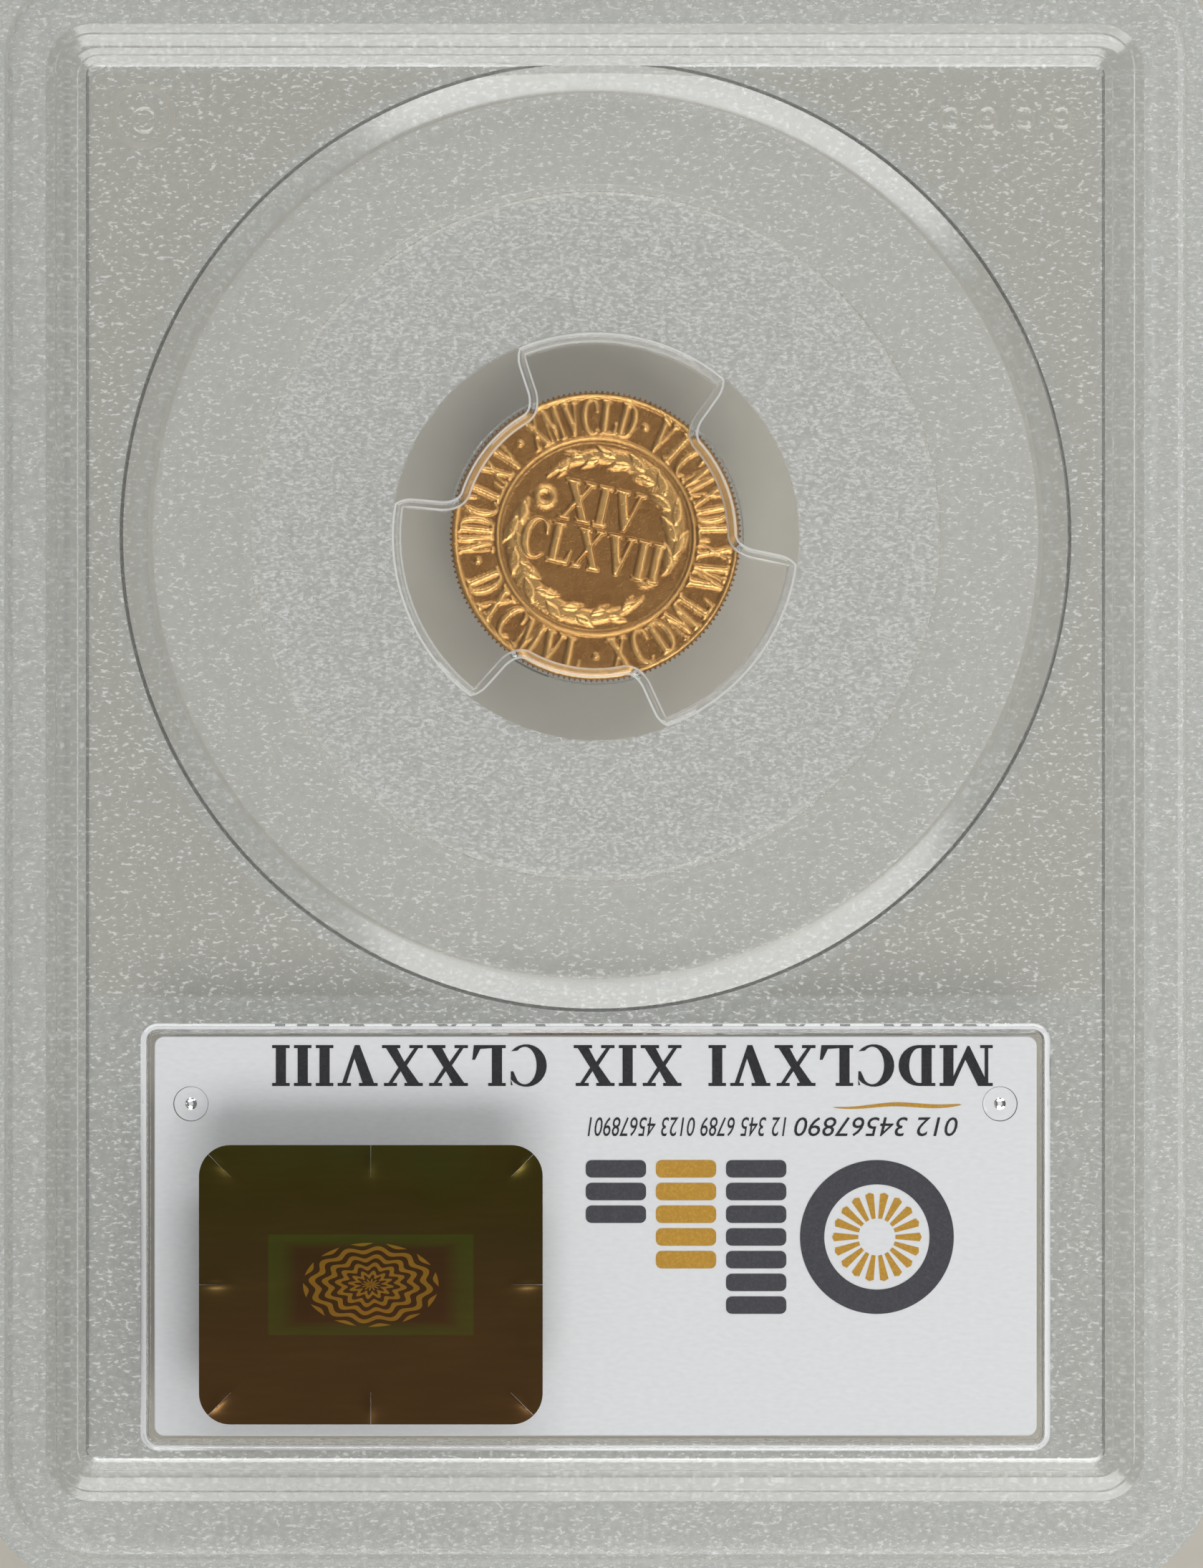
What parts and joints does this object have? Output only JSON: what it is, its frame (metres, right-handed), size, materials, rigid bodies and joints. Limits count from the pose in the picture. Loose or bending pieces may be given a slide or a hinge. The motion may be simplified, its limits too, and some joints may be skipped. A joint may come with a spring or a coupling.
{
  "type": "graded coin slab",
  "caption": "Flat sealed clear plastic holder with a round window over a small reeded gold coin, a window over a printed card and a foil security seal.",
  "frame": {"origin": "centre of the footprint, on the plane that the holder lies on, front face down", "axes": "+Z out of the back face, +Y along the length towards the coin end, +X across the width"},
  "size_m": [0.0636, 0.085, 0.008],
  "materials": {
    "clear_shell": "clear moulded styrene, polished windows and ridges, pebbled border and field",
    "clear_insert": "clear soft plastic, fine frosted ring with polished prongs",
    "coin_gold": "struck gold, satin fields with bright relief edges and a reeded edge",
    "card_stock": "matte white printed card, near-black, charcoal and ochre print",
    "seal_foil": "dark brown metallised film with olive and copper diffraction colours"
  },
  "bodies": {
    "root": {"back_shell": "clear_shell", "front_shell": "clear_shell", "coin_insert": "clear_insert", "coin": "coin_gold", "label_card": "card_stock", "security_seal": "seal_foil"}
  },
  "joints": []
}
